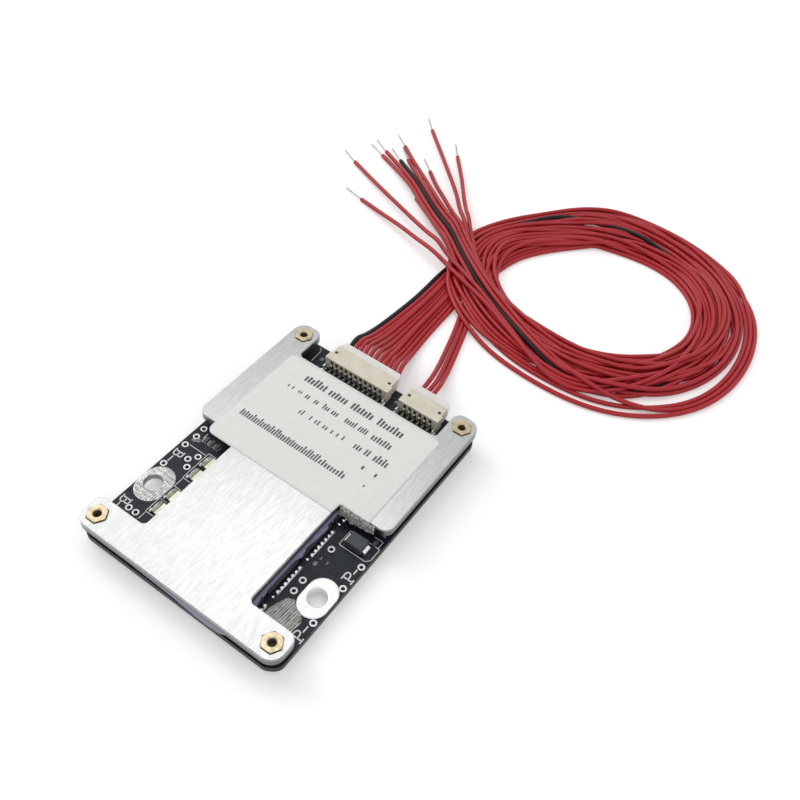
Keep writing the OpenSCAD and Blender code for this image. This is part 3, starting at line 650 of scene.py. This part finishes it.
tin_pressed = mottled("pressed tin", (0.3, 0.31, 0.3), (0.5, 0.51, 0.5), (0.25, 0.38), 900, 0.2, 0.00004, 0.9)
tin_flowed = mottled("reflowed tin", (0.82, 0.82, 0.81), (0.95, 0.95, 0.94), (0.35, 0.5), 900, 0.2, 0.00004,
                     0.35)
edge_out = 27.05
for name, node, x, hole_x, wide, long, tin in (
        ("battery_land", "battery_pad", -23.05, -23.4, 3.65, 5.05, tin_pressed),
        ("pack_land", "pack_pad", 23.55, 23.4, 3.5, 5.05, tin_flowed)):
    y, hole_r, rows = -19.5, 2.22, 150
    bm = bmesh.new()
    rim = []
    for k in range(rows):
        angle = math.tau * k / rows
        px, py = wide * math.cos(angle), wide * math.sin(angle)
        py += (long - wide) * (1 if py > 0 else -1) if abs(py) > 1e-6 else 0
        rim.append((min(x + px, edge_out), y + py))
    lower = [bm.verts.new(Vector((*p, 0)) * mm + Vector((0, 0, board_top + 0.01 * mm))) for p in rim]
    inner_rim = [bm.verts.new(Vector((hole_x + hole_r * math.cos(math.tau * k / rows),
                                      y + hole_r * math.sin(math.tau * k / rows), 0)) * mm
                              + Vector((0, 0, board_top + 0.1 * mm))) for k in range(rows)]
    for k in range(rows):
        bm.faces.new((lower[k], lower[(k + 1) % rows], inner_rim[(k + 1) % rows], inner_rim[k]))
    spokes = [e for e in bm.edges if (e.verts[0] in lower) != (e.verts[1] in lower)]
    bmesh.ops.subdivide_edges(bm, edges=spokes, cuts=14, use_grid_fill=True)
    bmesh.ops.subdivide_edges(bm, edges=bm.edges[:], cuts=1, use_grid_fill=True)
    for v in bm.verts:
        px, py = v.co.x / mm, v.co.y / mm
        out = math.hypot(px - hole_x, py - y) - hole_r
        edge_r = min(math.hypot(px - a, py - b) for a, b in rim)
        swell = min(1, out / 0.25, edge_r / 0.3)
        if tin is tin_pressed:
            row = min(1, 1.1 + math.sin(5.7 * py + 0.5 * math.sin(3 * px)))
            mark = math.sin(10.5 * px + 0.5 * math.sin(2.1 * py)) * row
            worn_flat = 1 if px > x - 0.5 or py < y - 2 else 0.45
            rise = 0.1 + 0.09 * mark * worn_flat
        else:
            mark = math.sin(11 * px + 4 * math.sin(2 * py)) * math.sin(9 * py + 3 * px)
            rise = 0.1 + 0.02 * mark * (1 if px > 25 or py < -21.5 else 0.15)
        v.co.z = board_top + (0.01 + max(0, swell) * rise) * mm
    rim_edges = [e for e in bm.edges if e.is_boundary
                 and math.hypot(e.verts[0].co.x / mm - hole_x, e.verts[0].co.y / mm - y) < hole_r + 0.05]
    barrel = bmesh.ops.extrude_edge_only(bm, edges=rim_edges)["geom"]
    for v in [g for g in barrel if isinstance(g, bmesh.types.BMVert)]:
        v.co.z = board_top - 1.62 * mm
    faced(bm, Vector((0, 0, 1)))
    placed(finished(bm, name), tin, "tin", node, smooth=True)

# ---- solder runs -----------------------------------------------------------
# Parallel beads of solder laid by hand on bare copper beside the pack
# terminal; they wander and swell a little along their length.
bm = bmesh.new()
patch = [(16.9, -30.3), (16.9, -27.6), (17.6, -25.5), (18.6, -23.2), (20.1, -22.7), (20.9, -23.6),
         (22.9, -24.2), (23.9, -25.5), (24.2, -30.3)]
bed_z = board_top + 0.025 * mm
bmesh.ops.contextual_create(bm, geom=[bm.verts.new((x * mm, y * mm, bed_z)) for x, y in patch])
faced(bm, Vector((0, 0, 1)))
tinned_copper = mottled("bare copper, tinned", (0.07, 0.07, 0.065), (0.25, 0.25, 0.24), (0.35, 0.55), 1500,
                        0.3, 0.00004, 0.8)
placed(finished(bm, "solder_bed"), tinned_copper, "tin")
bm = bmesh.new()
runs = 13
for k in range(runs):
    x = 17.2 + 6.8 * k / (runs - 1)
    top_end = np.interp(x, (17, 17.6, 18.6, 20, 21, 22.9, 24),
                        (-27.2, -25.3, -23.2, -22.6, -23.4, -24.2, -25.6))
    made = bmesh.ops.create_uvsphere(bm, u_segments=64, v_segments=8, radius=1,
                                     matrix=Matrix.Rotation(math.pi / 2, 4, "X"))["verts"]
    for v in made:
        along = v.co.y
        round_off = math.sqrt(max(1e-9, 1 - along ** 2))
        shape = min(4, round_off ** 0.25 / round_off)
        wobble = math.sin(17 * along + 5 * k) * 0.07 + math.sin(41 * along + 3 * k) * 0.04
        wide = 0.13 + 0.03 * math.sin(23 * along + 2 * k)
        tall = max(0.03, 0.16 + 0.08 * math.sin(31 * along + 4 * k))
        v.co.x = (x + 0.25 * along + v.co.x * shape * wide + wobble) * mm
        v.co.z = board_top + max(0, v.co.z) * shape * tall * mm
        v.co.y = ((top_end - 30.6) / 2 + along * (top_end + 30.6) / 2) * mm
solder_grey = mottled("solder", (0.28, 0.28, 0.27), (0.5, 0.5, 0.48), (0.25, 0.45), 500, 0.2, 0.00003, 1.0)
placed(finished(bm, "solder_runs"), solder_grey, "tin", "solder_ridges", smooth=True)

# ---- power transistors -----------------------------------------------------
# Two columns of moulded bodies with a tinned tab on one side and eight formed
# leads on the other, each lead in a small heap of solder on its pad.
epoxy_black = mottled("moulding compound", (0.012, 0.013, 0.014), (0.03, 0.031, 0.033), (0.5, 0.7), 2500, 0.3,
                      0.00002)
epoxy_slate = mottled("slate moulding", (0.022, 0.027, 0.031), (0.036, 0.042, 0.048), (0.4, 0.6), 2500, 0.3,
                      0.00002)
for name in ("charge_mosfets", "discharge_mosfets", "controller_ic", "balance_transistors"):
    softened(name, name + "_moulded", epoxy_black, 0.15, "epoxy")
softened("diode", "diode_moulded", epoxy_slate, 0.15, "epoxy")
for name in ("diode_terminals", "controller_pins", "header_tabs"):
    dress(name, tin_bright)
bm = bmesh.new()
scatter = np.random.default_rng(3)
first_y, step_y, lead_pitch = -31.8, 11.3, 1.2
for x, facing in ((16.35, -1), (-11.65, 1)):
    for row in range(4):
        for k in range(8):
            y = first_y + step_y * row + (k - 3.5) * lead_pitch - (0.35 if k == 0 else 0)
            tooth = 0.9 + 0.35 * scatter.random()
            at = Matrix.Translation(((x + facing * 0.5 * tooth) * mm, y * mm, board_top + 0.08 * mm))
            bmesh.ops.create_cone(bm, cap_ends=True, segments=8, radius1=1, radius2=0.22, depth=1, matrix=(
                at @ Matrix.Rotation(facing * math.pi / 2, 4, "Y") @ Matrix.Diagonal(
                    ((0.3 + 0.12 * scatter.random()) * mm, (0.42 if k == 0 else 0.6) * mm, tooth * mm, 1))))
        y = first_y + step_y * row + 0.6
        bmesh.ops.create_cube(bm, size=1, matrix=Matrix.Translation((x * mm, y * mm, board_top + 0.06 * mm))
                              @ Matrix.Diagonal((0.22 * mm, 8.2 * mm, 0.12 * mm, 1)))
for v in bm.verts:
    v.co.z = max(v.co.z, board_top)
placed(finished(bm, "lead_solder"), tin_bright, "tin", "mosfet_leads", smooth=True)

# ---- shunts ----------------------------------------------------------------
# Flat metal-strip resistors: a coated body between two dull ends, with two small
# heaps of solder at the outer end of each.
shunt_body = mottled("shunt coating", (0.6, 0.6, 0.42), (0.85, 0.84, 0.66), (0.3, 0.45), 500, 0.2, 0.00003,
                     0.3)
softened("shunt_resistors", "shunt_bodies", shunt_body, 0.1, "shunt_body")
shunt_ends = mottled("shunt ends", (0.09, 0.09, 0.07), (0.3, 0.31, 0.27), (0.3, 0.5), 900, 0.3, 0.00005, 0.6)
softened("shunt_caps", "shunt_end_caps", shunt_ends, 0.12, "tin")
bm = bmesh.new()
for y in (-8, -12.3, -19.45, -23.8):
    for dx, dy, wide, long, tall in ((-18.55, -1.2, 0.5, 0.75, 0.45), (-18.6, 0.5, 0.3, 1.2, 0.3)):
        at = Matrix.Translation((dx * mm, (y + dy) * mm, board_top))
        bmesh.ops.create_icosphere(bm, subdivisions=3, radius=1, matrix=at @ Matrix.Diagonal(
            (wide * mm, long * mm, tall * mm, 1)))
for v in bm.verts:
    v.co.z = max(v.co.z, board_top)
placed(finished(bm, "shunt_solder"), solder_grey, "tin", smooth=True)

# ---- chip parts ------------------------------------------------------------
# Small dark bricks of fired ceramic, and the balancing resistors, which are
# as dark as the moulded bodies.
ceramic = mottled("ceramic", (0.05, 0.047, 0.043), (0.1, 0.095, 0.085), (0.45, 0.6), 2200)
dress("chip_parts", ceramic)
dress("balance_resistors", epoxy_black)

# ---- heat plate ------------------------------------------------------------
# Two millimetres of aluminium, brushed along its length, with an eased edge.
# Three notches clear the terminals and the connectors.
brushing, given, result = new_group("brushing", (("Along", 60), ("Across", 2600), ("Low", 0), ("High", 1)),
                                    ("Value", "Lines"))
spread = add_node(brushing, "ShaderNodeCombineXYZ")
stretched = add_node(brushing, "ShaderNodeVectorMath", operation="MULTIPLY")
hair = add_node(brushing, "ShaderNodeTexNoise")
hair.inputs["Scale"].default_value = 1
hair.inputs["Detail"].default_value = 4
hair.inputs["Roughness"].default_value = 0.65
brushing.links.new(given.outputs["Across"], spread.inputs["X"])
brushing.links.new(given.outputs["Along"], spread.inputs["Y"])
brushing.links.new(given.outputs["Along"], spread.inputs["Z"])
brushing.links.new(object_place(brushing), stretched.inputs[0])
brushing.links.new(spread.outputs[0], stretched.inputs[1])
brushing.links.new(stretched.outputs[0], hair.inputs["Vector"])
low_to_high(brushing, hair, given, result)
brushing.links.new(hair.outputs[0], result.inputs["Lines"])

plate_metal, tree, shader = new_material("brushed aluminium")
shader.inputs["Metallic"].default_value = 1
strokes = place_group(tree, brushing, Along=450, Across=3600, Low=0, High=1)
scoured = two_colours(tree, shader, strokes.outputs["Value"], (0.35, 0.36, 0.355), (0.46, 0.47, 0.465))
dull = place_group(tree, brushing, Along=300, Across=2600, Low=0.27, High=0.36)
tree.links.new(dull.outputs["Value"], shader.inputs["Roughness"])
bumped(tree, shader, strokes.outputs["Lines"], 0.2, 0.00002)
plate_top, plate_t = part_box("heat_plate")[1].z, 2 * mm
# Below the top bevel the side faces are painted dark grey: painted shade on the plate's side
painted_side_shade = ramp(tree, height_in(tree), plate_top - 0.0004, plate_top - 0.00026)
two_colours(tree, shader, painted_side_shade.outputs[0], (0.17, 0.18, 0.18), scoured)
softened("heat_plate", "plate_body", plate_metal, 0.28, "plate", 3,
         lambda e: all(abs(v.co.z - plate_top) < 1e-5 for v in e.verts)
         or all(abs(v.co.z - plate_top + plate_t) < 1e-5 for v in e.verts))

# ---- standoffs and screws --------------------------------------------------
# Brass standoffs pressed into the plate; each is tapped, and the thread shows
# as rings in the hole. Zinc-plated screws hold the board from below.
brass = mottled("brass", (0.34, 0.28, 0.17), (0.52, 0.45, 0.3), (0.28, 0.42), 900, 0.2, 0.00004, 1.0)
softened("hex_standoffs", "standoffs", brass, 0.14, "brass")
zinc = mottled("zinc plate", (0.5, 0.5, 0.48), (0.68, 0.68, 0.66), (0.3, 0.45), 1200, 0.2, 0.00003, 1.0)
dress("board_screws", zinc)
bm = bmesh.new()
groove = 0.86
hex_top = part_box("hex_standoffs")[1].z
for x in (-24, 24):
    for y in (-34.5, 34.5):
        for k in range(5):
            at = Matrix.Translation((x * mm, y * mm, hex_top - (0.45 + 0.4 * k) * mm))
            ring = bmesh.ops.create_circle(bm, segments=24, radius=0.85 * mm, matrix=at)
            edges = list({e for v in ring["verts"] for e in v.link_edges})
            inward = bmesh.ops.extrude_edge_only(bm, edges=edges)["geom"]
            for v in [g for g in inward if isinstance(g, bmesh.types.BMVert)]:
                v.co.x = x * mm + (v.co.x - x * mm) * groove
                v.co.y = y * mm + (v.co.y - y * mm) * groove
                v.co.z -= 0.1 * mm
            edges = [g for g in inward if isinstance(g, bmesh.types.BMEdge)]
            outward = bmesh.ops.extrude_edge_only(bm, edges=edges)["geom"]
            for v in [g for g in outward if isinstance(g, bmesh.types.BMVert)]:
                v.co.x = x * mm + (v.co.x - x * mm) / groove
                v.co.y = y * mm + (v.co.y - y * mm) / groove
                v.co.z -= 0.1 * mm
bmesh.ops.recalc_face_normals(bm, faces=bm.faces)
# Near black: painted shade in the tapped holes' threads
thread_shade_brass = mottled("brass threads, painted shade", (0.02, 0.014, 0.008), (0.07, 0.05, 0.03), (0.4, 0.6), 1500, 0.2, 0.00003,
                    0.6)
placed(finished(bm, "standoff_threads"), thread_shade_brass, "brass")

# ---- headers and plugs -----------------------------------------------------
# Side-entry headers moulded in cream nylon. The pocket round each pin at the
# back and the two windows in the roof are dark quads of painted shade. Milky
# housings are pushed into them, with a crimped contact for each wire.
header_cream = mottled("cream nylon", (0.63, 0.59, 0.47), (0.73, 0.69, 0.57), (0.4, 0.55), 500, 0.1, 0.00003)
plug_milky = mottled("milky nylon", (0.74, 0.7, 0.68), (0.84, 0.81, 0.79), (0.25, 0.4), 700, 0,
                     finer=15 / 7)
shader = plug_milky.node_tree.nodes["Principled BSDF"]
shader.inputs["Subsurface Weight"].default_value = 0.35
shader.inputs["Subsurface Scale"].default_value = 0.002
shader.inputs["Subsurface Radius"].default_value = (1, 0.55, 0.5)
for size in ("large", "small"):
    softened("header_" + size, "header_shell_" + size, header_cream, 0.1, "header_nylon")
    softened("plug_" + size, "plug_housing_" + size, plug_milky, 0.18, "plug_nylon")
# A darker copy of the tin: painted shade on the pins behind the headers
pin_tin_painted_shade = mottled("pin tin, painted shade", (0.26, 0.25, 0.22), (0.5, 0.48, 0.43), (0.3, 0.45), 1400, 0.3, 0.00004, 1.0)
dress("header_pins", pin_tin_painted_shade)
bm = bmesh.new()
header_back, header_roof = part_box("header_large")[0].y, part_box("header_large")[1].z
window_y = 35.73
for middle, count in ((large_x, large_n), (small_x, small_n)):
    half_row = (count - 1) * pitch / 2
    for k in range(count):
        x = (middle + k * pitch - half_row) * mm
        for low, high, wide in ((0.25, 1.45, 1.0), (2.15, 3.1, 0.8)):
            at = Matrix.Translation((x, header_back, board_top + (low + high) / 2 * mm))
            shape = Matrix.Diagonal((wide * mm, 0.04 * mm, (high - low) * mm, 1))
            bmesh.ops.create_cube(bm, size=1, matrix=at @ shape)
    for side in (-1, 1):
        at = Matrix.Translation(((middle + side * (half_row + 0.7)) * mm, window_y * mm, header_roof))
        bmesh.ops.create_cube(bm, size=1, matrix=at @ Matrix.Diagonal((0.8 * mm, 0.74 * mm, 0.02 * mm, 1)))
# Near black: painted shade inside the pockets and the roof windows
painted_pocket_shade = mottled("painted shade, header pockets and windows", (0.01, 0.009, 0.006), (0.035, 0.03, 0.02), (0.6, 0.8), 1500)
placed(finished(bm, "header_painted_shade"), painted_pocket_shade, "header_nylon")
bronze = mottled("phosphor bronze", (0.5, 0.4, 0.22), (0.65, 0.55, 0.35), (0.3, 0.4), 1500, 0.1, 0.00002, 1)
dress("crimp_contacts", bronze)

# ---- thermal pad -----------------------------------------------------------
# A soft lavender silicone sheet between the transistors and the plate. It has
# been squeezed out past the plate's edge and sags between the bodies.
silicone = mottled("lavender silicone", (0.21, 0.21, 0.34), (0.3, 0.3, 0.46), (0.35, 0.5), 1200, 0.25,
                   0.00005)
pad_top = 5.69
dress("thermal_pad", silicone)


# A lip of the pad: reach says how far out it bulges and drop how far it hangs
def squeezed_edge(name, start, end, reach, drop):
    bm = bmesh.new()
    bmesh.ops.create_grid(bm, x_segments=90, y_segments=10, size=0.5)
    for v in bm.verts:
        u, w = v.co.x + 0.5, 0.5 - v.co.y
        along = start + (end - start) * u
        fall = drop(along) * math.sin(0.5 * math.pi * w) ** 1.3
        v.co = (*reach(along, w), (pad_top - fall) * mm)
    bmesh.ops.recalc_face_normals(bm, faces=bm.faces)
    bmesh.ops.solidify(bm, geom=bm.faces[:], thickness=0.12 * mm)
    bmesh.ops.recalc_face_normals(bm, faces=bm.faces)
    placed(finished(bm, name), silicone, "silicone_pad", smooth=True)


def side_reach(y, w):
    bulge = np.interp(y, (-29.4, -26, -22.2, -17.1, -14.5, -12.5, -6.5),
                      (15.35, 15.0, 14.75, 15.0, 15.35, 15.0, 15.45))
    return (14.2 + (bulge - 14.2) * math.sin(math.pi * min(1, 0.25 + 0.5 * w))) * mm, y * mm


def front_reach(x, w):
    return x * mm, (-37.5 - 0.66 * math.sin(math.pi * min(1, 0.3 + 0.35 * w))) * mm


squeezed_edge("pad_edge_side", -29.7, -5.6, side_reach,
              lambda y: np.interp(y, (-29.4, -26.4, -24.5, -18, -15.2, -14.5, -13.6, -6.5),
                                  (1.5, 1.6, 0.8, 0.8, 1.1, 1.9, 0.8, 1.0)))
squeezed_edge("pad_edge_front", -10, 15, front_reach,
              lambda x: np.interp(x, (-10, -5, 1, 5, 9.5, 13, 15), (0.15, 0.5, 0.95, 1.7, 2.2, 1.7, 0.3)))

# ---- label -----------------------------------------------------------------
# A paper label with rounded corners on the plate. It bridges the battery
# notch, and at the pack notch its corner is folded down and crumpled.
corner = 2 * mm
label_left, label_right = -22 * mm, 22.6 * mm
label_front, label_back = -3.6 * mm, 28.2 * mm
cut_x, cut_y = 14.5 * mm, -0.6 * mm
outline = [(label_right, cut_y)]
for cx, cy, start in ((label_right - corner, label_back - corner, 0),
                      (label_left + corner, label_back - corner, 90),
                      (label_left + corner, label_front + corner, 180)):
    for k in range(9):
        turn_by = math.radians(start + 90 * k / 8)
        outline.append((cx + corner * math.cos(turn_by), cy + corner * math.sin(turn_by)))
outline += [(cut_x - 0.3 * mm, label_front), (cut_x, label_front + 0.3 * mm), (cut_x + 0.2 * mm, cut_y)]
bm = bmesh.new()
bmesh.ops.contextual_create(bm, geom=[bm.verts.new((x, y, plate_top + 0.02 * mm)) for x, y in outline])
cell = 0.9 * mm
for axis, low, high in ((0, label_left, label_right), (1, label_front, label_back)):
    for at in np.arange(low + cell, high - 0.3 * mm, cell):
        point, normal = Vector((0, 0, 0)), Vector((0, 0, 0))
        point[axis], normal[axis] = at, 1
        bmesh.ops.bisect_plane(bm, geom=bm.verts[:] + bm.edges[:] + bm.faces[:], plane_co=point,
                               plane_no=normal)
for v in bm.verts:
    x, y = v.co.x / mm, v.co.y / mm
    near_fold = math.exp(-((x - 17.5) / 4.5) ** 2 - ((y - 2) / 3.5) ** 2)
    rumple = abs(math.sin(0.9 * x + 0.6 * y + 1.5 * math.sin(0.5 * y))) * abs(math.sin(0.35 * x - 0.8 * y))
    gentle = 0.5 + 0.25 * math.sin(0.32 * x + 0.2 * y) + 0.25 * math.sin(0.21 * y - 0.4 * x + 1)
    v.co.z += (0.03 * gentle + 0.16 * near_fold * rumple) * mm
faced(bm, Vector((0, 0, 1)))
bmesh.ops.solidify(bm, geom=bm.faces[:], thickness=0.08 * mm)
label_sheet = finished(bm, "label_sheet")
for face in label_sheet.data.polygons:
    face.use_smooth = abs(face.normal.z) > 0.7

paper, tree, shader = new_material("label paper")
shader.inputs["Specular IOR Level"].default_value = 0.35
fibre = place_group(tree, mottle, Scale=700, Low=0, High=1)
two_colours(tree, shader, fibre.outputs["Value"], (0.775, 0.78, 0.75), (0.815, 0.82, 0.79))
glossed(tree, shader, 90, 0.42, 0.55)
bumped(tree, shader, fibre.outputs["Height"], 0.1, 0.00003)
placed(label_sheet, paper, "paper_label", "label")

# The folded corner: the paper goes over the notch's edge and is creased
bm = bmesh.new()
bmesh.ops.create_grid(bm, x_segments=44, y_segments=12, size=0.5)
dents = np.random.default_rng(8).random((14, 3))
flap_left, flap_right = 15 * mm, 24.3 * mm
for v in bm.verts:
    u, w = v.co.x + 0.5, 0.5 - v.co.y
    x = flap_left + (flap_right - flap_left) * u
    fall = (2.9 - 0.9 * u ** 3 - 0.5 * (1 - u) ** 4) * w
    fold = min(1, w * 5)
    push = sum(max(0, 1 - abs((u - a) * 7 + (w - b) * (5 * c - 2.5)) * 1.5) * (0.35 + 0.65 * c)
               for a, b, c in dents)
    y = cut_y - (0.12 + 0.35 * fold + 0.22 * push * min(1, w * 2) + 0.25 * w) * mm
    if w < 0.02:
        y = cut_y + 0.02 * mm
    z = plate_top + 0.06 * mm - fall * mm
    v.co = (x + 0.1 * mm * math.sin(9 * w + 5 * u), y, z)
faced(bm, Vector((0, -1, 0)))
bmesh.ops.solidify(bm, geom=bm.faces[:], thickness=0.1 * mm)
creased, tree, shader = new_material("folded paper, painted shade")
shader.inputs["Specular IOR Level"].default_value = 0.35
# The flap is painted grey and its cell borders near black: painted shade on the hanging paper and in its
# creases
edge = ramp(tree, cell_borders(tree, 1300), 0, 0.12)
two_colours(tree, shader, edge.outputs[0], (0.06, 0.06, 0.055), (0.42, 0.42, 0.4))
glossed(tree, shader, 900, 0.35, 0.6)
bumped(tree, shader, edge.outputs[0], 0.6, 0.0002)
placed(finished(bm, "label_flap"), creased, "paper_label", "label")

# ---- label print -----------------------------------------------------------
# Lines of plain bars, a generic stand-in for small print, partly rubbed off.
bm = bmesh.new()
press = np.random.default_rng(21)
print_z = plate_top + 0.075 * mm


# Bars from x0 to x1; rubbed is the share of them that is gone
def printed_line(x0, x1, y, tall, wide, gap, rubbed):
    x = x0
    while x < x1:
        high = tall * (1, 0.7, 0.7, 0.85)[press.integers(4)]
        if press.random() >= rubbed:
            at = Matrix.Translation((x * mm, (y + high / 2) * mm, print_z))
            shape = Matrix.Diagonal((wide * mm, high * mm, 0.06 * mm, 1))
            bmesh.ops.create_cube(bm, size=1, matrix=at @ shape)
        x += wide + gap


for x0, x1 in ((-14.1, -8.3), (-6.8, -1.3), (-0.1, 6.3), (7.7, 14.3)):
    printed_line(x0, x1, 22.6, 2.3, 0.5, 0.42, 0)
for line in ((-16.1, -11, 18.6, 1.2, 0.24, 0.4, 0.6), (-10.6, 8.1, 18.3, 1.7, 0.32, 0.34, 0.25),
             (9.2, 14.5, 18.1, 2.1, 0.4, 0.4, 0), (-9.6, 5.4, 13.6, 1.6, 0.3, 0.5, 0.55),
             (6, 12.6, 13.5, 1.8, 0.36, 0.4, 0.3), (13.2, 16.8, 13.4, 2.2, 0.4, 0.4, 0),
             (-19.3, 3.5, 4.9, 2.2, 0.34, 0.34, 0), (4, 10.9, 5, 1.8, 0.4, 0.42, 0.15),
             (12.6, 16.9, 9.9, 1.4, 0.5, 0.4, 0.35), (14.2, 17.4, 6.2, 0.8, 0.3, 0.5, 0.5)):
    printed_line(*line)
ink = mottled("grey ink", (0.05, 0.052, 0.055), (0.16, 0.165, 0.17), (0.5, 0.7), 1600, 0, gleam=0.2,
              finer=1.25)
placed(finished(bm, "label_print"), ink, "paper_label")
